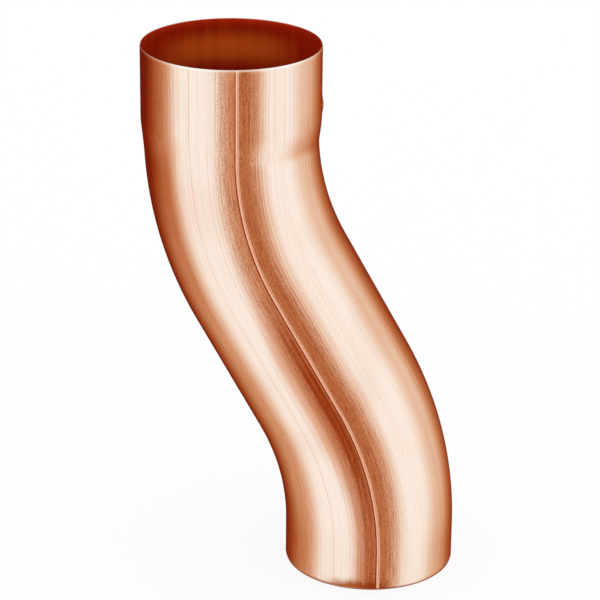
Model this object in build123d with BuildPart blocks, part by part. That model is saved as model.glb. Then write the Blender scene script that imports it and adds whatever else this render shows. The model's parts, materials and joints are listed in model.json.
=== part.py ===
from build123d import *
import os
from math import degrees

# A downpipe offset bend: one copper tube with a weld along its length, bent twice in one plane and
# widened to a socket at the top. The origin is the centre of the outlet's end face. The tube rises
# along +Z and moves over towards -X, and its weld is on the front, at -Y.

# Tube
pipe_diameter = 80.0  # outside, the size that the downpipe is sold by
wall = 0.6
lead_in = wall / 4  # chamfer where the next pipes slip on and in: outside at the outlet, inside at the rim

# Route of the tube's centre line, from the outlet up to the socket's rim
outlet_straight = 18.0
bend_radius = 146.0
bend_angle = 29.0
middle_straight = 61.5
straight_below_socket = 8.0  # the part of the upper straight that the socket leaves free

# Socket, widened from the same tube to take the end of the pipe above
socket_clearance = 0.7  # radial gap round that pipe's end
socket_depth = 33.0
shoulder_length = 16.0  # narrows back to the tube, past the free straight and into the upper bend
shoulder_sections = 6

# Weld bead, standing on the outside of the wall
weld_width = 1.4
weld_height = 0.15
weld_angle = 7.3  # round from -Y towards +X

# Plain round pip, pressed out of the wall on the +X side where the socket begins
pip_diameter = 8.0
pip_height = 0.6
pip_blend = 3.0
pip_gap = 0.8  # from the shoulder's top up to the pip's foot

pipe_radius = pipe_diameter / 2
socket_radius = pipe_radius + socket_clearance + wall

with BuildLine(Plane.XZ) as route:
    outlet_run = Line((0, 0), (0, outlet_straight))
    lower_bend = JernArc(outlet_run @ 1, outlet_run % 1, bend_radius, bend_angle)
    middle_run = PolarLine(lower_bend @ 1, middle_straight, direction=lower_bend % 1)
    upper_bend = JernArc(middle_run @ 1, middle_run % 1, bend_radius, -bend_angle)
    socket_run = PolarLine(upper_bend @ 1, straight_below_socket + socket_depth, direction=upper_bend % 1)

centre_line = route.wire()
shoulder_top = centre_line.length - socket_depth
shoulder_foot = shoulder_top - shoulder_length
tube_line = centre_line.trim(0, shoulder_foot / centre_line.length)
socket_line = centre_line.trim(shoulder_top / centre_line.length, 1)


def station(distance):
    """The plane square to the route at a distance from the outlet, its x axis to the front, y towards +X."""
    return Plane(centre_line.location_at(distance, PositionMode.LENGTH, x_dir=(0, -1, 0)))


def wall_section(plane, radius):
    """The ring of wall with a given outside radius, with the weld bead as a low crown on it."""
    half_weld = degrees(weld_width / 2 / radius)
    crown_point = Vector(radius + weld_height, 0).rotate(Axis.Z, weld_angle)
    with BuildSketch(plane) as ring:
        with BuildLine():
            skin = CenterArc((0, 0), radius, weld_angle + half_weld, 360 - 2 * half_weld)
            ThreePointArc(skin @ 1, crown_point, skin @ 0)
        make_face()
        with Locations(Rotation(0, 0, 90)):  # the inner wall closes on the +X side, clear of the weld
            Circle(radius - wall, mode=Mode.SUBTRACT)
    return ring.sketch


def shoulder_section(share):
    """The ring at a share of the shoulder's length, where the wall swings out in a soft S."""
    widening = share * share * (3 - 2 * share)
    radius = pipe_radius + (socket_radius - pipe_radius) * widening
    return wall_section(station(shoulder_foot + share * shoulder_length), radius)


# The pip is the cap of a sphere that stands out of the middle of the socket's wall.
pip_sphere_radius = ((pip_diameter / 2) ** 2 + pip_height**2) / (2 * pip_height)
pip_station = station(shoulder_top + pip_gap + pip_diameter / 2)
pip_centre = pip_station.from_local_coords((0, socket_radius + pip_height - pip_sphere_radius))

with BuildPart() as pip:
    with Locations(pip_centre):
        Sphere(pip_sphere_radius)
    with Locations(pip_station):
        Cylinder(socket_radius - wall / 2, 2 * pip_sphere_radius, mode=Mode.SUBTRACT)

with BuildPart() as offset_bend:
    sweep(wall_section(station(0), pipe_radius), tube_line)
    loft([shoulder_section(n / (shoulder_sections - 1)) for n in range(shoulder_sections)])
    sweep(wall_section(station(shoulder_top), socket_radius), socket_line)

    # At each end the inner edge is one whole circle, and the outer one is broken by the weld.
    chamfer(edges().group_by(Axis.Z)[0].filter_by(lambda edge: not edge.is_closed), lead_in)
    chamfer(edges().group_by(Axis.Z)[-1].filter_by(lambda edge: edge.is_closed), lead_in)

    add(pip.part)
    fillet(edges(Select.NEW), pip_blend)
    with Locations(pip_centre):
        Sphere(pip_sphere_radius - wall, mode=Mode.SUBTRACT)

offset_bend.part.label = "offset_bend"

os.makedirs("parts", exist_ok=True)
export_step(offset_bend.part, "parts/offset_bend.step")
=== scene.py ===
import json
from math import cos, pi, radians, sin, tan

import bpy
from mathutils import Matrix, Vector


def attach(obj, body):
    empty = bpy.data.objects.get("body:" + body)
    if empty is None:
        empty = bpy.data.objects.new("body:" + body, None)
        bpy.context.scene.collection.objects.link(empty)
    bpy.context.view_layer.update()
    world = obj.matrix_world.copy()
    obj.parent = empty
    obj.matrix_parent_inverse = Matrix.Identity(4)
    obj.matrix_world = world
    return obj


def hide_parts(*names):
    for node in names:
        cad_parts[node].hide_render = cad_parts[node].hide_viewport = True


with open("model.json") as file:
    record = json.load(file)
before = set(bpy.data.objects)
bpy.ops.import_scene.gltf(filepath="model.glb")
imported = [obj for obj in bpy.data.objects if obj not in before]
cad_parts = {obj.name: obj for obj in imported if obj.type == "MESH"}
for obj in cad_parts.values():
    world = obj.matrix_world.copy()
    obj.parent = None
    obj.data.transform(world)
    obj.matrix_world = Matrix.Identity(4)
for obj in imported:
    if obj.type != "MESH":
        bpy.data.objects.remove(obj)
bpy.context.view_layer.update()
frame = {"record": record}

bl_info = {
    "name": "Downpipe Offset Bend",
    "version": (1, 0, 0),
    "blender": (4, 5, 0),
    "location": "3D Viewport > Sidebar > Offset Bend",
    "description": "Makes a welded copper offset bend for a round downpipe, with a plain studio round it",
    "category": "Add Mesh",
}

# The CAD model's mounts give the tube's two ends. Lengths are in metres, and the row frame has the
# outlet's centre at its origin, +Z up, the weld on the front at -Y and the socket over towards -X.
MILLIMETRE = 0.001
MOUNTS = {mount["name"]: mount for mount in frame["record"]["mounts"]}
OUTLET = MOUNTS["outlet_spigot"]
INLET = MOUNTS["inlet_socket"]
FRONT = Vector((0, -1, 0))


class Field:
    """An output in a node tree, so that the formulas of the shape and of the finishes read as plain sums."""

    def __init__(self, tree, socket):
        self.tree = tree
        self.socket = socket

    def __add__(self, other):
        return formula(self.tree, "ADD", self, other)

    def __sub__(self, other):
        return formula(self.tree, "SUBTRACT", self, other)

    def __rsub__(self, other):
        return formula(self.tree, "SUBTRACT", other, self)

    def __mul__(self, other):
        return formula(self.tree, "MULTIPLY", self, other)

    def __truediv__(self, other):
        return formula(self.tree, "DIVIDE", self, other)

    def __pow__(self, other):
        return formula(self.tree, "POWER", self, other)

    __radd__ = __add__

    def apply(self, operation, *others):
        return formula(self.tree, operation, self, *others)

    def clamped(self):
        return formula(self.tree, "ADD", self, 0.0, clamp=True)

    def rise(self, start, end, low=0.0, high=1.0):
        """A soft rise from low to high while this goes from start to end."""
        node = self.tree.nodes.new("ShaderNodeMapRange")
        node.interpolation_type = "SMOOTHSTEP"
        for slot, item in zip(node.inputs, (self, start, end, low, high)):
            feed(self.tree, slot, item)
        return Field(self.tree, node.outputs[0])

    def fall(self, start, end):
        """A soft fall from one to nothing while this goes from start to end."""
        return self.rise(start, end, 1.0, 0.0)

    def near(self, centre, reach, flat=0.0):
        """One within flat of the centre, falling softly to nothing at reach on both sides."""
        return (self - centre).apply("ABSOLUTE").fall(flat, reach)


def feed(tree, slot, item):
    """Links a field into a node's socket, or sets the socket to a plain value."""
    if isinstance(item, Field):
        tree.links.new(item.socket, slot)
    else:
        slot.default_value = item


def formula(tree, operation, *items, clamp=False):
    node = tree.nodes.new("ShaderNodeMath")
    node.operation = operation
    node.use_clamp = clamp
    for slot, item in zip(node.inputs, items):
        feed(tree, slot, item)
    return Field(tree, node.outputs[0])


def vector_formula(tree, operation, *items):
    node = tree.nodes.new("ShaderNodeVectorMath")
    node.operation = operation
    for slot, item in zip(node.inputs, items):
        feed(tree, slot, item)
    return Field(tree, node.outputs[0])


def scaled(tree, vector, factor):
    node = tree.nodes.new("ShaderNodeVectorMath")
    node.operation = "SCALE"
    feed(tree, node.inputs["Vector"], vector)
    feed(tree, node.inputs["Scale"], factor)
    return Field(tree, node.outputs[0])


def combined(tree, x, y, z):
    node = tree.nodes.new("ShaderNodeCombineXYZ")
    for slot, item in zip(node.inputs, (x, y, z)):
        feed(tree, slot, item)
    return Field(tree, node.outputs[0])


def parted(tree, vector):
    node = tree.nodes.new("ShaderNodeSeparateXYZ")
    feed(tree, node.inputs[0], vector)
    return [Field(tree, output) for output in node.outputs]


def added(tree, kind, inputs=(), **settings):
    """Adds a node of that kind, with its settings and its inputs by name."""
    node = tree.nodes.new(kind)
    for name, value in settings.items():
        setattr(node, name, value)
    for name, value in dict(inputs).items():
        feed(tree, node.inputs[name], value)
    return node


class OFFSETBEND_PG_tube(bpy.types.PropertyGroup):
    """Sizes of the tube. Where the mounts give a size, its default comes from them."""

    bend_radius: bpy.props.FloatProperty(
        name="Bend Radius",
        description="Radius of the centre line in both bends",
        default=0.146,
        unit="LENGTH",
    )
    bend_angle: bpy.props.FloatProperty(
        name="Bend Angle",
        description="How far each bend turns the tube",
        default=radians(29),
        subtype="ANGLE",
    )
    wall: bpy.props.FloatProperty(
        name="Wall",
        description="Thickness of the sheet",
        default=0.0006,
        unit="LENGTH",
        precision=5,
    )
    shoulder_length: bpy.props.FloatProperty(
        name="Shoulder Length",
        description="Length over which the socket narrows back to the tube",
        default=0.016,
        unit="LENGTH",
    )
    lip_length: bpy.props.FloatProperty(
        name="Lip Length",
        description="Length over which the edge at each end is bevelled off",
        default=0.0009,
        unit="LENGTH",
        precision=5,
    )
    weld_angle: bpy.props.FloatProperty(
        name="Weld Angle",
        description="Place of the weld, round from the front towards +X",
        default=radians(7.3),
        subtype="ANGLE",
    )
    weld_width: bpy.props.FloatProperty(
        name="Weld Width",
        description="Width of the weld bead",
        default=0.0014,
        unit="LENGTH",
        precision=5,
    )
    weld_height: bpy.props.FloatProperty(
        name="Weld Height",
        description="How far the weld bead stands on the wall",
        default=0.00015,
        unit="LENGTH",
        precision=5,
    )
    pip_reach: bpy.props.FloatProperty(
        name="Pip Reach",
        description="Distance from the pip's centre to where it has run out into the wall",
        default=0.0046,
        unit="LENGTH",
        precision=5,
    )
    pip_height: bpy.props.FloatProperty(
        name="Pip Height",
        description="How far the pip stands out of the wall",
        default=0.0006,
        unit="LENGTH",
        precision=5,
    )
    pip_above_shoulder: bpy.props.FloatProperty(
        name="Pip Above Shoulder",
        description="Distance from the shoulder's top up to the pip's centre",
        default=0.0048,
        unit="LENGTH",
        precision=5,
    )


class OFFSETBEND_PG_finish(bpy.types.PropertyGroup):
    """Colours and gloss of the copper."""

    copper: bpy.props.FloatVectorProperty(
        name="Copper",
        description="Colour of the bright drawn sheet",
        subtype="COLOR",
        default=(0.96, 0.62, 0.45),
        min=0.0,
        max=1.0,
    )
    # Also the colour of the painted shade patches on the bend and the shoulder
    tarnish_and_shade: bpy.props.FloatVectorProperty(
        name="Tarnish And Shade",
        description="Colour of the streaks that have darkened",
        subtype="COLOR",
        default=(0.76, 0.30, 0.15),
        min=0.0,
        max=1.0,
    )
    # Also the colour of the painted shade beside the bead and at the foot
    heat_tint_and_shade: bpy.props.FloatVectorProperty(
        name="Heat Tint And Shade",
        description="Colour of the band that the weld's heat has stained",
        subtype="COLOR",
        default=(0.42, 0.08, 0.015),
        min=0.0,
        max=1.0,
    )
    weld: bpy.props.FloatVectorProperty(
        name="Weld",
        description="Colour of the weld bead",
        subtype="COLOR",
        default=(1.0, 0.52, 0.33),
        min=0.0,
        max=1.0,
    )
    # Painted highlight: the cut edge is lighter than the copper so that it stands in for the rim's glint
    cut_edge_and_glint: bpy.props.FloatVectorProperty(
        name="Cut Edge And Glint",
        description="Colour of the bare metal at both ends",
        subtype="COLOR",
        default=(1.0, 0.74, 0.60),
        min=0.0,
        max=1.0,
    )
    # The inner wall's deep red stands in for its dimness: both bore colours are painted shade, and the
    # lighter one shows in a painted light band
    bore: bpy.props.FloatVectorProperty(
        name="Bore",
        description="Colour of the dull inner wall where it is lightest",
        subtype="COLOR",
        default=(0.95, 0.18, 0.02),
        min=0.0,
        max=1.0,
    )
    # Painted shade: the inner wall's darker colour
    painted_bore_shade: bpy.props.FloatVectorProperty(
        name="Painted Bore Shade",
        description="Colour of the inner wall where it has darkened",
        subtype="COLOR",
        default=(0.50, 0.021, 0.001),
        min=0.0,
        max=1.0,
    )
    roughness: bpy.props.FloatProperty(
        name="Roughness",
        description="Roughness of the bright sheet between its streaks",
        default=0.16,
        min=0.0,
        max=1.0,
    )


class OFFSETBEND_PG_stage(bpy.types.PropertyGroup):
    """The camera's place and the size of the floor."""

    azimuth: bpy.props.FloatProperty(
        name="Azimuth",
        description="Turn of the camera round the part, from the front towards +X",
        default=radians(2.055),
        subtype="ANGLE",
    )
    elevation: bpy.props.FloatProperty(
        name="Elevation",
        description="Height of the camera over the floor, as an angle",
        default=radians(22.13),
        subtype="ANGLE",
    )
    roll: bpy.props.FloatProperty(
        name="Roll",
        description="Turn of the camera round its own line of sight",
        default=radians(0.578),
        subtype="ANGLE",
    )
    distance: bpy.props.FloatProperty(
        name="Distance",
        description="From the camera to the point that it looks at",
        default=1.262,
        unit="LENGTH",
    )
    look_at: bpy.props.FloatVectorProperty(
        name="Look At",
        description="The point in the middle of the picture",
        default=(-0.03432, 0.0, 0.13036),
        subtype="XYZ",
        unit="LENGTH",
        precision=5,
    )
    lens: bpy.props.FloatProperty(
        name="Focal Length",
        description="Focal length in millimetres, on a sensor 36 mm wide",
        default=162.12,
    )
    floor_size: bpy.props.FloatProperty(
        name="Floor Size",
        description="Length of each side of the floor",
        default=8.0,
        unit="LENGTH",
    )


def route_corners(tube):
    """The four points where the centre line starts, would turn if its bends were sharp, and ends."""
    start = Vector(OUTLET["pos_m"])
    end = Vector(INLET["pos_m"])
    offset = abs(end.x - start.x)
    outlet_straight = OUTLET["dims"]["length_mm"] * MILLIMETRE
    tangent = tube.bend_radius * tan(tube.bend_angle / 2)
    lower = start + Vector((0, 0, outlet_straight + tangent))
    upper = lower + Vector((end.x - start.x, 0, offset / tan(tube.bend_angle)))
    return [start, lower, upper, end]


def corner_mesh(name, corners):
    mesh = bpy.data.meshes.new(name)
    mesh.from_pydata(corners, [(n, n + 1) for n in range(len(corners) - 1)], [])
    return mesh


# How finely the tube is divided: round it, along its outer and inner walls, and round each lip.
AROUND = 320
ALONG_OUTSIDE = 190
ALONG_INSIDE = 90
ROUND_LIP = 8
BEND_STEPS = 64
CROWD_AT_WELD = 0.85  # 0 spreads the columns evenly, and near 1 crowds them at the weld
WELD_LEAN = 1.5  # how much longer the bead's +X flank is than its steeper -X flank
PIP_DIRECTION = radians(90)  # round from the front: the pip is on the +X side
PIP_POWER = 1.5  # 1 makes the pip's top a plain parabola, and more runs it out softly at its foot
MERGE_REACH = 1e-6  # points of the sheet's edges that lie this close are one point, in metres

TUBE_SIZES = (
    "Bend Radius",
    "Pipe Radius",
    "Socket Radius",
    "Socket Depth",
    "Shoulder Length",
    "Wall",
    "Lip Length",
    "Weld Angle",
    "Weld Width",
    "Weld Height",
    "Pip Reach",
    "Pip Height",
    "Pip Above Shoulder",
)


def tube_tree(finishes):
    """A sheet of quads wrapped round the route: up the outside, over the rim, down the inside and under."""
    tree = bpy.data.node_groups.new("offset_bend_tube", "GeometryNodeTree")
    face = tree.interface
    face.new_socket("Route", in_out="INPUT", socket_type="NodeSocketGeometry")
    for name in TUBE_SIZES:
        face.new_socket(name, in_out="INPUT", socket_type="NodeSocketFloat")
    face.new_socket("Tube", in_out="OUTPUT", socket_type="NodeSocketGeometry")
    given = tree.nodes.new("NodeGroupInput")
    size = {name: Field(tree, given.outputs[name]) for name in TUBE_SIZES}

    # The route, with its two corners rounded to the bend radius
    line = added(tree, "GeometryNodeMeshToCurve", {"Mesh": Field(tree, given.outputs["Route"])})
    bends = added(
        tree,
        "GeometryNodeFilletCurve",
        {"Curve": Field(tree, line.outputs["Curve"]), "Count": BEND_STEPS, "Radius": size["Bend Radius"]},
        mode="POLY",
    )
    route = Field(tree, bends.outputs["Curve"])
    length = Field(tree, added(tree, "GeometryNodeCurveLength", {"Curve": route}).outputs["Length"])

    # The sheet's two directions: round the tube from the weld, and along the wall's closed outline
    rows = ALONG_OUTSIDE + ALONG_INSIDE + 2 * ROUND_LIP
    grid = added(
        tree,
        "GeometryNodeMeshGrid",
        {"Size X": 1.0, "Size Y": 1.0, "Vertices X": AROUND + 1, "Vertices Y": rows + 1},
    )
    place = parted(tree, Field(tree, tree.nodes.new("GeometryNodeInputPosition").outputs[0]))
    turn = (place[0] + 0.5) * (2 * pi)
    from_weld = turn - turn.apply("SINE") * CROWD_AT_WELD
    from_front = from_weld + size["Weld Angle"]
    row = (place[1] + 0.5) * rows
    up = (row / ALONG_OUTSIDE).clamped()
    over = ((row - ALONG_OUTSIDE) / ROUND_LIP).clamped()
    down = ((row - ALONG_OUTSIDE - ROUND_LIP) / ALONG_INSIDE).clamped()
    under = ((row - ALONG_OUTSIDE - ROUND_LIP - ALONG_INSIDE) / ROUND_LIP).clamped()

    # How deep in the wall a row lies, and how far along the route
    inwards = over - under
    bulge = (under * 2 - 1.0).apply("ABSOLUTE") - (over * 2 - 1.0).apply("ABSOLUTE")
    along = (length - size["Lip Length"] * 2) * (up - down) + size["Lip Length"] * (bulge + 1.0)

    # The wall's radius there, with the socket, the weld bead on the outside and the pip
    socket_foot = length - size["Socket Depth"]
    widening = along.rise(socket_foot - size["Shoulder Length"], socket_foot)
    skin = size["Pipe Radius"] + (size["Socket Radius"] - size["Pipe Radius"]) * widening
    across_weld = from_weld.apply("SINE") * skin
    half_weld = size["Weld Width"] / 2
    bead = across_weld.rise(half_weld * -1.0, 0.0) * across_weld.fall(0.0, half_weld * WELD_LEAN)
    crown = bead * from_weld.apply("COSINE").apply("GREATER_THAN", 0.0) * size["Weld Height"]
    to_pip = ((from_front - PIP_DIRECTION) / 2).apply("SINE") * skin * 2
    pip_rise = along - socket_foot - size["Pip Above Shoulder"]
    from_pip = (to_pip * to_pip + pip_rise * pip_rise) / (size["Pip Reach"] * size["Pip Reach"])
    pip = (1.0 - from_pip).clamped() ** PIP_POWER * size["Pip Height"]
    radius = skin + pip + crown * (1.0 - inwards) - inwards * size["Wall"]

    # Points on the route, and the two directions square to it
    sample = added(tree, "GeometryNodeSampleCurve", {"Curves": route, "Length": along}, mode="LENGTH")
    centre = Field(tree, sample.outputs["Position"])
    tangent = Field(tree, sample.outputs["Tangent"])
    sideways = vector_formula(tree, "CROSS_PRODUCT", tangent, FRONT)
    forwards = scaled(tree, combined(tree, *FRONT), from_front.apply("COSINE") * radius)
    outwards = scaled(tree, sideways, from_front.apply("SINE") * radius)
    target = vector_formula(tree, "ADD", centre, vector_formula(tree, "ADD", forwards, outwards))

    # The same place on the tube as if it were straight, for patterns that follow the metal
    straight = combined(tree, from_weld.apply("COSINE") * skin, from_weld.apply("SINE") * skin, along)
    inside = row.apply("GREATER_THAN", ALONG_OUTSIDE + ROUND_LIP / 2)
    flat = combined(tree, (place[0] + 0.5 + inside) / 2, up - down, 0.0)
    sheet = Field(tree, grid.outputs["Mesh"])
    for name, kind, domain, value in (
        ("straight", "FLOAT_VECTOR", "POINT", straight),
        ("below_rim", "FLOAT", "POINT", length - along),
        ("inwards", "FLOAT", "POINT", inwards),
        ("OFBake", "FLOAT2", "CORNER", flat),
    ):
        store = added(
            tree,
            "GeometryNodeStoreNamedAttribute",
            {"Geometry": sheet, "Name": name, "Value": value},
            data_type=kind,
            domain=domain,
        )
        sheet = Field(tree, store.outputs["Geometry"])

    # The sheet bent into the tube and closed, with each finish painted from its depth in the wall inwards
    moved = added(tree, "GeometryNodeSetPosition", {"Geometry": sheet, "Position": target})
    merging = {"Geometry": Field(tree, moved.outputs[0]), "Distance": MERGE_REACH}
    closed = added(tree, "GeometryNodeMergeByDistance", merging)
    smooth = added(tree, "GeometryNodeSetShadeSmooth", {"Geometry": Field(tree, closed.outputs[0])})
    real = added(tree, "GeometryNodeRealizeInstances", {"Geometry": Field(tree, smooth.outputs[0])})
    shell = Field(tree, real.outputs[0])
    depth = added(tree, "GeometryNodeInputNamedAttribute", {"Name": "inwards"}, data_type="FLOAT")
    depth = Field(tree, depth.outputs["Attribute"])
    for finish, start in finishes:
        deeper = depth.apply("GREATER_THAN", start)
        painting = {"Geometry": shell, "Selection": deeper, "Material": finish}
        painted = added(tree, "GeometryNodeSetMaterial", painting)
        shell = Field(tree, painted.outputs[0])
    result = tree.nodes.new("NodeGroupOutput")
    feed(tree, result.inputs["Tube"], shell)
    return tree


def set_inputs(modifier, values):
    """Sets a Geometry Nodes modifier's inputs, which it knows by identifier."""
    for item in modifier.node_group.interface.items_tree:
        if item.item_type == "SOCKET" and item.in_out == "INPUT" and item.name in values:
            modifier[item.identifier] = values[item.name]


def plain_mesh(maker, name):
    """A new object with the evaluated mesh of maker, which is then deleted."""
    evaluated = maker.evaluated_get(bpy.context.evaluated_depsgraph_get())
    mesh = bpy.data.meshes.new_from_object(evaluated)
    bpy.data.objects.remove(maker)
    mesh.name = name
    piece = bpy.data.objects.new(name, mesh)
    bpy.context.scene.collection.objects.link(piece)
    return piece


def new_material(name):
    material = bpy.data.materials.new(name)
    material.use_nodes = True
    tree = material.node_tree
    tree.nodes.clear()
    return material, tree


def finished(tree, shader):
    out = tree.nodes.new("ShaderNodeOutputMaterial")
    tree.links.new(shader, out.inputs["Surface"])


# The Mix node repeats its sockets' names for each kind of value. These are the numbers of its colour ones.
MIX_SHARE = 0
MIX_COLOURS = (6, 7)
MIX_RESULT = 2


def mixed(tree, share, first, second):
    """The second colour over the first by a share."""
    node = tree.nodes.new("ShaderNodeMix")
    node.data_type = "RGBA"
    feed(tree, node.inputs[MIX_SHARE], share)
    for number, item in zip(MIX_COLOURS, (first, second)):
        feed(tree, node.inputs[number], item if isinstance(item, Field) else (*item, 1.0))
    return Field(tree, node.outputs[MIX_RESULT])


def attribute(tree, name, output):
    node = added(tree, "ShaderNodeAttribute", attribute_name=name)
    return Field(tree, node.outputs[output])


# The noise patterns: the share of the tube's length that each keeps, which draws it out along the tube,
# and its scale, detail and roughness.
PATTERNS = {
    "fine streaks": (0.006, 800.0, 3.0, 0.65),
    "broad streaks": (0.02, 220.0, 2.0, 0.5),
    "grain": (0.45, 2200.0, 2.0, 0.6),
    "strokes": (0.05, 1900.0, 2.0, 0.6),
    "cast": (1.0, 28.0, 1.0, 0.5),
    "cut marks": (1.0, 900.0, 2.0, 0.5),
    "bore streaks": (0.04, 300.0, 3.0, 0.6),
}
NOISE_MIDDLE = 0.5

# How the patterns darken the bright sheet: the noise at which each begins to show and shows in full, and
# its depth then.
DARKENING = {
    "fine streaks": (0.42, 0.72, 0.6),
    "broad streaks": (0.4, 0.8, 0.2),
    "grain": (0.44, 0.62, 0.6),
    "strokes": (0.5, 0.64, 0.6),
    "cast": (0.45, 0.75, 0.15),
}


def pattern(tree, place, name):
    """One of the noise patterns, by the place on the straight tube."""
    kept_length, scale, detail, roughness = PATTERNS[name]
    drawn_out = vector_formula(tree, "MULTIPLY", place, (1.0, 1.0, kept_length))
    settings = {"Vector": drawn_out, "Scale": scale, "Detail": detail, "Roughness": roughness}
    return Field(tree, added(tree, "ShaderNodeTexNoise", settings).outputs[0])


def darkening(name, noise):
    """How far a pattern darkens the bright sheet."""
    start, full, depth = DARKENING[name]
    return noise.rise(start, full) * depth


# Fine lines that the drawing dies have left along the whole tube: degrees round from the weld, half
# width in degrees and depth of the stain.
DRAW_LINES = (
    (-64.0, 0.5, 0.3),
    (-30.8, 0.4, 0.8),
    (-25.0, 0.25, 0.2),
    (-19.0, 0.3, 0.45),
    (-13.5, 0.5, 0.3),
    (13.0, 0.5, 0.4),
    (20.0, 0.3, 0.4),
    (31.0, 0.35, 0.4),
    (52.0, 0.5, 0.3),
)


# Where the heat's stain changes, in metres from the outlet's end. Each pair is where a soft change starts
# and where it is complete, here and below.
STAIN_GROWS = (0.03, 0.085)
BAND_NARROWS = (0.12, 0.165)
BAND_ENDS = (0.13, 0.185)
CORE_ENDS = (0.10, 0.165)

# The tarnished band of that stain, in degrees round from the weld
BAND_EDGE = -17.0
BAND_SWELL = -6.0  # how much further out its edge lies where the band is widest
BAND_FRAY = 14.0
BAND_EDGE_SHOWS = (-3.0, 6.0)  # round from its edge
BAND_STOPS_AT_WELD = (-3.5, -1.5)
BAND_DEPTH = 0.6
BAND_EXTRA_DEPTH = 0.25  # where the band is widest

# The dark core of it, in degrees too: two steps, each with its soft edge and its depth
CORE_STEPS = ((-19.0, -12.0, 0.4), (-10.0, -7.0, 0.6))
CORE_FRAY = 5.0
CORE_STOPS_AT_WELD = (-4.5, -1.0)
CORE_AT_FOOT = 0.3  # the share of its depth that it has at the outlet
CORE_DEPTH = 0.9
CORE_UNEVENNESS = 1.2


def heat_band(angle, along, ragged):
    """The ragged band left of the weld that its heat has tarnished, widest halfway along the tube."""
    spread = along.rise(*STAIN_GROWS) * along.fall(*BAND_NARROWS)
    edge = spread * BAND_SWELL + BAND_EDGE + ragged * BAND_FRAY
    band = (angle - edge).rise(*BAND_EDGE_SHOWS) * angle.fall(*BAND_STOPS_AT_WELD)
    return band * along.fall(*BAND_ENDS) * (spread * BAND_EXTRA_DEPTH + BAND_DEPTH)


def heat_core(angle, along, ragged):
    """The dark red streak inside the band, deepest close beside the weld."""
    frayed = angle + ragged * CORE_FRAY
    outer, inner = (frayed.rise(start, full) * depth for start, full, depth in CORE_STEPS)
    core = (outer + inner) * angle.fall(*CORE_STOPS_AT_WELD)
    length = (along.rise(*STAIN_GROWS) * (1.0 - CORE_AT_FOOT) + CORE_AT_FOOT) * along.fall(*CORE_ENDS)
    return core * length * (ragged * CORE_UNEVENNESS + CORE_DEPTH)


# Marks across the weld, in metres towards +X from its middle: centre, reach and flat inner part
BEAD_STRIPE = (-0.00005, 0.0008, 0.0004)
# The groove is painted shade: a dark line at the bead's left foot, with no groove in the wall
GROOVE_SHADE_STRIPE = (-0.00105, 0.00045, 0.0001)
GROOVE_SHADE_DEEPENS = (0.0, 0.09)  # in metres below the rim
GROOVE_SHADE_AT_RIM = 0.5

# Two patches of painted shade: centre, reach and flat inner part, in metres below the rim and in degrees
# round from the weld
BEND_PAINTED_SHADE = ((0.075, 0.050, 0.020), (-62.0, 24.0, 10.0))
SHOULDER_PAINTED_SHADE = ((0.036, 0.014, 0.003), (56.0, 16.0, 5.0))
SHOULDER_PAINTED_SHADE_DEPTH = 0.3
PAINTED_SHADE_LEAST = 0.1  # its depth where the broad streaks are lightest

# Where the sheet is rubbed, in degrees round from the weld as above, and how much
RUBBED_AT_WELD = (0.5, 18.0, 8.0)
RUBBED_AT_WELD_DEPTH = 0.5
RUBBED_ON_FLANK = (-66.0, 26.0, 12.0)
RUBBED_ON_FLANK_DEPTH = 0.3
RUBBED_ELSEWHERE_DEPTH = 0.06

# The smear at the foot, in metres from the outlet's end and in degrees: a ragged part, and a fine line of
# painted shade at the bottom edge
SMEAR_ENDS = (0.0012, 0.0062)
SMEAR_SIDE = (-15.0, 28.0, 6.0)
SMEAR_FRAY = 0.005
FOOT_SHADE_LINE_ENDS = (0.0008, 0.0018)
FOOT_SHADE_LINE_SIDE = (-24.0, 60.0, 28.0)
FOOT_SHADE_LINE_DEPTH = 0.6


def weld_marks(x, across, below_rim):
    """The bead's stripe, and a line of painted shade at its left foot, which grows fainter up to the rim."""
    weld_side = x.apply("GREATER_THAN", 0.0)
    bead = across.near(*BEAD_STRIPE) * weld_side
    groove_shade = across.near(*GROOVE_SHADE_STRIPE) * weld_side * below_rim.rise(*GROOVE_SHADE_DEEPENS, GROOVE_SHADE_AT_RIM, 1.0)
    return bead, groove_shade


def painted_shade_patches(angle, below_rim, broad):
    """Two patches of painted shade: a long painted dark reflection on the upper bend's left, and a small one
    on the shoulder's right.
    """
    patches = (BEND_PAINTED_SHADE, SHOULDER_PAINTED_SHADE)
    on_bend, at_shoulder = (below_rim.near(*height) * angle.near(*side) for height, side in patches)
    return (on_bend + at_shoulder * SHOULDER_PAINTED_SHADE_DEPTH) * (broad + PAINTED_SHADE_LEAST)


def rubbing(angle, strokes, grain):
    """Dark strokes and grain where the sheet has been rubbed, most of all beside the weld."""
    marks = darkening("strokes", strokes) + darkening("grain", grain)
    at_weld = angle.near(*RUBBED_AT_WELD) * RUBBED_AT_WELD_DEPTH
    on_flank = angle.near(*RUBBED_ON_FLANK) * RUBBED_ON_FLANK_DEPTH
    return marks * (at_weld + on_flank + RUBBED_ELSEWHERE_DEPTH)


def foot_smear_and_shade(angle, along, broad):
    """The dark smear at the outlet's end, ragged beside the weld, and a fine line of painted shade at the
    bottom edge further round.
    """
    frayed = along + (broad - NOISE_MIDDLE) * SMEAR_FRAY
    smear = frayed.fall(*SMEAR_ENDS) * angle.near(*SMEAR_SIDE)
    return smear + along.fall(*FOOT_SHADE_LINE_ENDS) * angle.near(*FOOT_SHADE_LINE_SIDE) * FOOT_SHADE_LINE_DEPTH


STREAK_DEPTH = 0.25
BEAD_SHARE = 0.9  # how much of the bead's colour is the weld's own
DULL_ROUGHNESS = 0.08  # what full streaks add to the sheet's roughness
BEAD_ROUGHNESS = 0.2  # what the bead adds
RELIEF_HEIGHT = 0.00006  # of the fine streaks, in metres
LESSER_RELIEF = 0.5  # the other patterns' share of it


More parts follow.
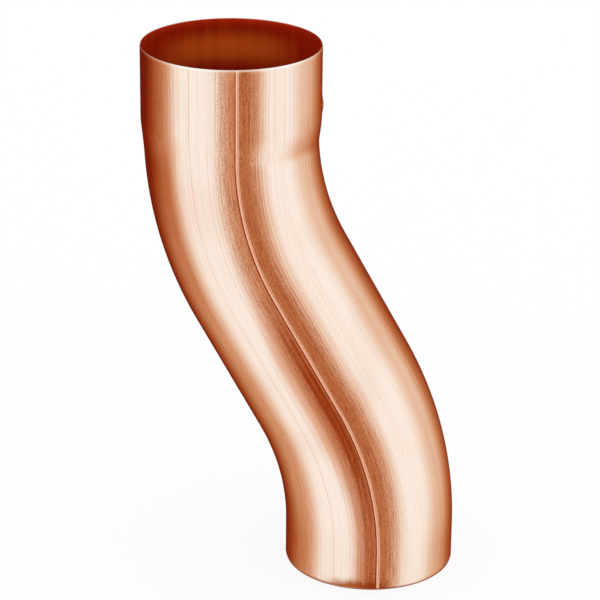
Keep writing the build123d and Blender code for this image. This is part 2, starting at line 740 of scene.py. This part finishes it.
def bright_copper(finish):
    """The drawn sheet on the outside: fine lengthwise streaks, draw lines and a stain beside the weld, with
    painted shade beside the bead, on the upper bend, on the shoulder and along the foot.
    """
    material, tree = new_material("drawn copper")
    place = attribute(tree, "straight", "Vector")
    x, across, along = parted(tree, place)
    angle = across.apply("ARCTAN2", x) * (180 / pi)
    below_rim = attribute(tree, "below_rim", "Fac")
    fine = pattern(tree, place, "fine streaks")
    broad = pattern(tree, place, "broad streaks")
    grain = pattern(tree, place, "grain")
    strokes = pattern(tree, place, "strokes")
    dull = darkening("fine streaks", fine) + darkening("broad streaks", broad)
    cast = darkening("cast", pattern(tree, place, "cast"))
    ragged = fine - NOISE_MIDDLE
    bead, groove_shade = weld_marks(x, across, below_rim)
    beside_bead = 1.0 - bead

    # The tarnish and the painted shade patches over the copper, the heat's dark red and the painted shade of
    # the groove and the foot over both, and the weld's own colour on its bead
    lines = dull * STREAK_DEPTH + cast + painted_shade_patches(angle, below_rim, broad)
    for centre, width, depth in DRAW_LINES:
        lines = lines + angle.near(centre, width) * depth
    tarnish_and_shade = (lines + heat_band(angle, along, ragged) * beside_bead).clamped()
    colour = mixed(tree, tarnish_and_shade, finish.copper, finish.tarnish_and_shade)
    # The heat's core, the smear at the foot with its line of painted shade, and the rubbing
    dark_share = heat_core(angle, along, ragged) + foot_smear_and_shade(angle, along, broad)
    dark_share = dark_share + rubbing(angle, strokes, grain)
    colour = mixed(tree, (dark_share * beside_bead + groove_shade).clamped(), colour, finish.heat_tint_and_shade)
    colour = mixed(tree, bead * BEAD_SHARE, colour, finish.weld)

    shader = tree.nodes.new("ShaderNodeBsdfPrincipled")
    shader.inputs["Metallic"].default_value = 1.0
    feed(tree, shader.inputs["Base Color"], colour)
    roughness = finish.roughness + dull * DULL_ROUGHNESS + bead * BEAD_ROUGHNESS
    feed(tree, shader.inputs["Roughness"], roughness)
    relief = fine + strokes * LESSER_RELIEF + grain * LESSER_RELIEF + broad * LESSER_RELIEF
    bump = added(tree, "ShaderNodeBump", {"Height": relief, "Strength": 1.0, "Distance": RELIEF_HEIGHT})
    tree.links.new(bump.outputs[0], shader.inputs["Normal"])
    finished(tree, shader.outputs[0])
    return material


# Painted shade on the cut edge at the foot, which faces the floor
FOOT_EDGE_SHADE_ENDS = (0.002, 0.004)  # in metres from the outlet's end
FOOT_EDGE_SHADE_DEPTH = 0.8
CUT_MARK_DEPTH = 0.2
CUT_MARK_ROUGHNESS = 0.2
CUT_ROUGHNESS = 0.22


def cut_copper(finish):
    """The cut edge at both ends: bare metal lightened into a painted highlight at the rim, and darkened by
    painted shade at the foot.
    """
    material, tree = new_material("cut copper edge with painted glint and shade")
    place = attribute(tree, "straight", "Vector")
    along = parted(tree, place)[2]
    marks = pattern(tree, place, "cut marks")
    colour = mixed(tree, marks * CUT_MARK_DEPTH, finish.cut_edge_and_glint, finish.copper)
    # the foot's edge darkened by painted shade
    dark_share = along.rise(*FOOT_EDGE_SHADE_ENDS, FOOT_EDGE_SHADE_DEPTH, 0.0)
    colour = mixed(tree, dark_share, colour, finish.heat_tint_and_shade)
    shader = tree.nodes.new("ShaderNodeBsdfPrincipled")
    shader.inputs["Metallic"].default_value = 1.0
    feed(tree, shader.inputs["Base Color"], colour)
    feed(tree, shader.inputs["Roughness"], marks * CUT_MARK_ROUGHNESS + CUT_ROUGHNESS)
    finished(tree, shader.outputs[0])
    return material


# Painted light on the inner wall: lighter towards the back, in a band below the rim
LIGHT_AT_BACK = (-0.042, -0.02)  # in metres towards the weld from the tube's middle
LIGHT_BAND = (0.0145, 0.011, 0.001)  # centre, reach and flat inner part, in metres below the rim
BORE_STREAK_DEPTH = 0.5
BORE_STREAK_ROUGHNESS = 0.15
BORE_ROUGHNESS = 0.4


def dull_copper(finish):
    """The dull inner wall, darkened to deep red as painted shade, and lightest in a painted light band at
    the back below the rim.
    """
    material, tree = new_material("dull copper bore")
    place = attribute(tree, "straight", "Vector")
    x = parted(tree, place)[0]
    below_rim = attribute(tree, "below_rim", "Fac")
    streaks = pattern(tree, place, "bore streaks")
    light = x.fall(*LIGHT_AT_BACK) * below_rim.near(*LIGHT_BAND)
    share = (light + (streaks - NOISE_MIDDLE) * BORE_STREAK_DEPTH).clamped()
    shader = tree.nodes.new("ShaderNodeBsdfPrincipled")
    shader.inputs["Metallic"].default_value = 0.6
    shader.inputs["Specular IOR Level"].default_value = 0.1
    feed(tree, shader.inputs["Base Color"], mixed(tree, share, finish.painted_bore_shade, finish.bore))
    feed(tree, shader.inputs["Roughness"], streaks * BORE_STREAK_ROUGHNESS + BORE_ROUGHNESS)
    finished(tree, shader.outputs[0])
    return material


# Where each finish begins in the wall: 0 is the sheet's outer face and 1 its inner one, and the first
# finish covers all that the next two don't
BRIGHT_FROM = -1.0
CUT_EDGE_FROM = 0.02
BORE_FROM = 0.6


class OFFSETBEND_OT_tube(bpy.types.Operator):
    """Add the bent and welded tube, with its socket, its weld and its pip"""

    bl_idname = "offset_bend.add_tube"
    bl_label = "Add Tube"
    bl_options = {"REGISTER", "UNDO"}

    def execute(self, context):
        tube = context.scene.offset_bend_tube
        finish = context.scene.offset_bend_finish
        finishes = (
            (bright_copper(finish), BRIGHT_FROM),
            (cut_copper(finish), CUT_EDGE_FROM),
            (dull_copper(finish), BORE_FROM),
        )
        route = corner_mesh("offset_bend_route", route_corners(tube))
        maker = bpy.data.objects.new("offset_bend_maker", route)
        context.scene.collection.objects.link(maker)
        modifier = maker.modifiers.new("Tube", "NODES")
        modifier.node_group = tube_tree(finishes)
        set_inputs(modifier, {
            "Bend Radius": tube.bend_radius,
            "Pipe Radius": OUTLET["dims"]["r_mm"] * MILLIMETRE,
            "Socket Radius": INLET["dims"]["r_mm"] * MILLIMETRE + tube.wall,
            "Socket Depth": INLET["dims"]["length_mm"] * MILLIMETRE,
            "Shoulder Length": tube.shoulder_length,
            "Wall": tube.wall,
            "Lip Length": tube.lip_length,
            "Weld Angle": tube.weld_angle,
            "Weld Width": tube.weld_width,
            "Weld Height": tube.weld_height,
            "Pip Reach": tube.pip_reach,
            "Pip Height": tube.pip_height,
            "Pip Above Shoulder": tube.pip_above_shoulder,
        })
        piece = plain_mesh(maker, "offset_bend_tube")
        if not piece.data.polygons:
            raise RuntimeError("the tube came out empty")
        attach(piece, "root")
        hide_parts("offset_bend")
        return {"FINISHED"}


# What the polished wall shows of the studio: three rows of upright panels all round the part. The foot
# and all that faces down meet the lower row, which stands on the floor, the socket meets the middle one,
# and all that faces up meets the upper one. Each panel has the azimuth of its edges in degrees, from the
# front towards +X, and its level. Between two panels the level changes evenly.
LOWER_PANELS = (
    (-180, -162, 0.09),
    (-114, -96, 0.62),
    (-66, -22, 0.98),
    (0, 8, 0.60),
    (20, 23, 0.42),
    (32, 36, 0.70),
    (49, 80, 0.96),
    (106, 118, 0.60),
    (136, 140, 0.32),
    (162, 180, 0.14),
)
MIDDLE_PANELS = (
    (-180, -132, 0.08),
    (-87, -85, 0.57),
    (-70, -20, 0.98),
    (0, 8, 0.58),
    (20, 24, 0.39),
    (32, 38, 0.61),
    (50, 86, 0.98),
    (104, 120, 0.78),
    (141, 144, 0.42),
    (164, 180, 0.14),
)
UPPER_PANELS = (
    (-180, -132, 0.08),
    (-87, -85, 0.57),
    (-70, -20, 0.98),
    (2, 9, 0.60),
    (18, 22, 0.37),
    (32, 33, 0.74),
    (48, 86, 0.98),
    (104, 120, 0.80),
    (139, 141, 0.41),
    (162, 180, 0.12),
)
# The colour at each level, from a lamp's white down through cream, tan and brown to deep red.
TONES = (
    (0.00, (0.06, 0.004, 0.001)),
    (0.11, (0.20, 0.016, 0.0015)),
    (0.17, (0.27, 0.034, 0.005)),
    (0.26, (0.36, 0.08, 0.022)),
    (0.35, (0.44, 0.145, 0.047)),
    (0.46, (0.55, 0.26, 0.115)),
    (0.60, (0.69, 0.45, 0.28)),
    (0.65, (0.75, 0.54, 0.39)),
    (0.77, (0.84, 0.79, 0.71)),
    (0.86, (0.92, 1.03, 1.06)),
    (0.94, (1.00, 1.25, 1.42)),
    (1.00, (1.05, 1.45, 1.80)),
)
# Where the rows and the light above begin and end, as sines of the elevation: -1 is straight down, 0 is
# level and 1 is straight up
UNDERSIDE_FULL = -1.0  # the floor in the part's shade right under it
UNDERSIDE_END = -0.76
UNDERSIDE_LEVEL = 0.6  # not a sine, but a share of the panels' level
LOWER_ROW_TOP = -0.62
MIDDLE_ROW_FOOT = -0.26
MIDDLE_ROW_TOP = -0.22
UPPER_ROW_FOOT = -0.08
TOP_LIGHT_START = 0.20  # where the wide light above begins to show
TOP_LIGHT_FULL = 0.70
TOP_LIGHT_LEVEL = 0.95  # a level too

FLOOR_DROP = 5e-5  # how far the floor lies below the outlet's edge, in metres
FLOOR_GLOW = 0.8  # the share of the floor's white that no shadow darkens
SENSOR_WIDTH = 36.0  # millimetres


def ramp(tree, share, stops):
    """A colour ramp with these stops, each a position and a colour or a level."""
    node = tree.nodes.new("ShaderNodeValToRGB")
    feed(tree, node.inputs[0], share)
    elements = node.color_ramp.elements
    elements.remove(elements[0])
    for number, (position, value) in enumerate(stops):
        stop = elements.new(position) if number else elements[0]
        stop.position = position
        stop.color = (*value, 1.0) if isinstance(value, tuple) else (value, value, value, 1.0)
    return Field(tree, node.outputs[0])


def panel_stops(panels):
    """The stops of a ramp that runs once round the part."""
    return [(edge / 360 + 0.5, level) for start, end, level in panels for edge in (start, end)]


def panel_world():
    """A white world whose panels and light above show only in the polished metal."""
    world = bpy.data.worlds.new("studio")
    world.use_nodes = True
    tree = world.node_tree
    tree.nodes.clear()
    direction = Field(tree, added(tree, "ShaderNodeTexCoord").outputs["Generated"])
    x, y, z = parted(tree, direction)
    azimuth = formula(tree, "ARCTAN2", x, y * -1.0) / (2 * pi) + 0.5
    rows = (LOWER_PANELS, MIDDLE_PANELS, UPPER_PANELS)
    lower, middle, upper = (ramp(tree, azimuth, panel_stops(panels)) for panels in rows)
    level = lower + (middle - lower) * z.rise(LOWER_ROW_TOP, MIDDLE_ROW_FOOT)
    level = level + (upper - level) * z.rise(MIDDLE_ROW_TOP, UPPER_ROW_FOOT)
    level = level + (TOP_LIGHT_LEVEL - level) * z.rise(TOP_LIGHT_START, TOP_LIGHT_FULL)
    level = level * z.rise(UNDERSIDE_FULL, UNDERSIDE_END, UNDERSIDE_LEVEL, 1.0)
    panels = added(tree, "ShaderNodeBackground", {"Color": ramp(tree, level, TONES), "Strength": 1.0})
    white = added(tree, "ShaderNodeBackground", {"Color": (1.0, 1.0, 1.0, 1.0), "Strength": 1.0})
    path = tree.nodes.new("ShaderNodeLightPath")
    mix = tree.nodes.new("ShaderNodeMixShader")
    tree.links.new(path.outputs["Is Glossy Ray"], mix.inputs[0])
    tree.links.new(white.outputs[0], mix.inputs[1])
    tree.links.new(panels.outputs[0], mix.inputs[2])
    out = tree.nodes.new("ShaderNodeOutputWorld")
    tree.links.new(mix.outputs[0], out.inputs["Surface"])
    return world


def floor_material():
    """A pale floor that the camera sees as white, with the part's soft shadow on it."""
    material, tree = new_material("pale floor")
    paint = added(tree, "ShaderNodeBsdfDiffuse", {"Color": (1.0, 1.0, 1.0, 1.0)})
    glow = added(tree, "ShaderNodeEmission", {"Color": (1.0, 1.0, 1.0, 1.0), "Strength": 1.0})
    mix = tree.nodes.new("ShaderNodeMixShader")
    path = tree.nodes.new("ShaderNodeLightPath")
    feed(tree, mix.inputs[0], Field(tree, path.outputs["Is Camera Ray"]) * FLOOR_GLOW)
    tree.links.new(paint.outputs[0], mix.inputs[1])
    tree.links.new(glow.outputs[0], mix.inputs[2])
    finished(tree, mix.outputs[0])
    return material


class OFFSETBEND_OT_stage(bpy.types.Operator):
    """Add the floor, the studio's light and the camera"""

    bl_idname = "offset_bend.add_stage"
    bl_label = "Add Stage"
    bl_options = {"REGISTER", "UNDO"}

    def execute(self, context):
        stage = context.scene.offset_bend_stage
        self.add_floor(context, stage)
        context.scene.world = panel_world()
        self.add_camera(context, stage)
        context.scene.view_settings.view_transform = "Standard"
        return {"FINISHED"}

    def add_floor(self, context, stage):
        half = stage.floor_size / 2
        square = ((-half, -half), (half, -half), (half, half), (-half, half))
        mesh = bpy.data.meshes.new("floor")
        mesh.from_pydata([(x, y, -FLOOR_DROP) for x, y in square], [], [(0, 1, 2, 3)])
        mesh.materials.append(floor_material())
        floor = bpy.data.objects.new("floor", mesh)
        floor.visible_glossy = False
        context.scene.collection.objects.link(floor)

    def add_camera(self, context, stage):
        back = Vector((
            sin(stage.azimuth) * cos(stage.elevation),
            -cos(stage.azimuth) * cos(stage.elevation),
            sin(stage.elevation),
        ))
        right = Vector((0, 0, 1)).cross(back).normalized()
        turned = Matrix.Rotation(stage.roll, 3, back)
        right = turned @ right
        up = back.cross(right)
        data = bpy.data.cameras.new("camera")
        data.sensor_width = SENSOR_WIDTH
        data.lens = stage.lens
        camera = bpy.data.objects.new("camera", data)
        rotation = Matrix((right, up, back)).transposed()
        position = Vector(stage.look_at) + back * stage.distance
        camera.matrix_world = Matrix.Translation(position) @ rotation.to_4x4()
        context.scene.collection.objects.link(camera)
        context.scene.camera = camera


class OFFSETBEND_PT_sidebar(bpy.types.Panel):
    """Lists the offset bend's sizes, finishes and operators"""

    bl_idname = "OFFSETBEND_PT_sidebar"
    bl_label = "Offset Bend"
    bl_space_type = "VIEW_3D"
    bl_region_type = "UI"
    bl_category = "Offset Bend"

    def draw(self, context):
        scene = context.scene
        for group in (scene.offset_bend_tube, scene.offset_bend_finish, scene.offset_bend_stage):
            box = self.layout.box()
            for name in group.__annotations__:
                box.prop(group, name)
        self.layout.operator(OFFSETBEND_OT_tube.bl_idname)
        self.layout.operator(OFFSETBEND_OT_stage.bl_idname)


CLASSES = (
    OFFSETBEND_PG_tube,
    OFFSETBEND_PG_finish,
    OFFSETBEND_PG_stage,
    OFFSETBEND_OT_tube,
    OFFSETBEND_OT_stage,
    OFFSETBEND_PT_sidebar,
)


def register():
    for item in CLASSES:
        bpy.utils.register_class(item)
    bpy.types.Scene.offset_bend_tube = bpy.props.PointerProperty(type=OFFSETBEND_PG_tube)
    bpy.types.Scene.offset_bend_finish = bpy.props.PointerProperty(type=OFFSETBEND_PG_finish)
    bpy.types.Scene.offset_bend_stage = bpy.props.PointerProperty(type=OFFSETBEND_PG_stage)


def unregister():
    del bpy.types.Scene.offset_bend_stage
    del bpy.types.Scene.offset_bend_finish
    del bpy.types.Scene.offset_bend_tube
    for item in reversed(CLASSES):
        bpy.utils.unregister_class(item)


def main():
    """Adds the tube and its stage."""
    register()
    bpy.ops.offset_bend.add_tube()
    bpy.ops.offset_bend.add_stage()


if __name__ == "__main__":
    main()
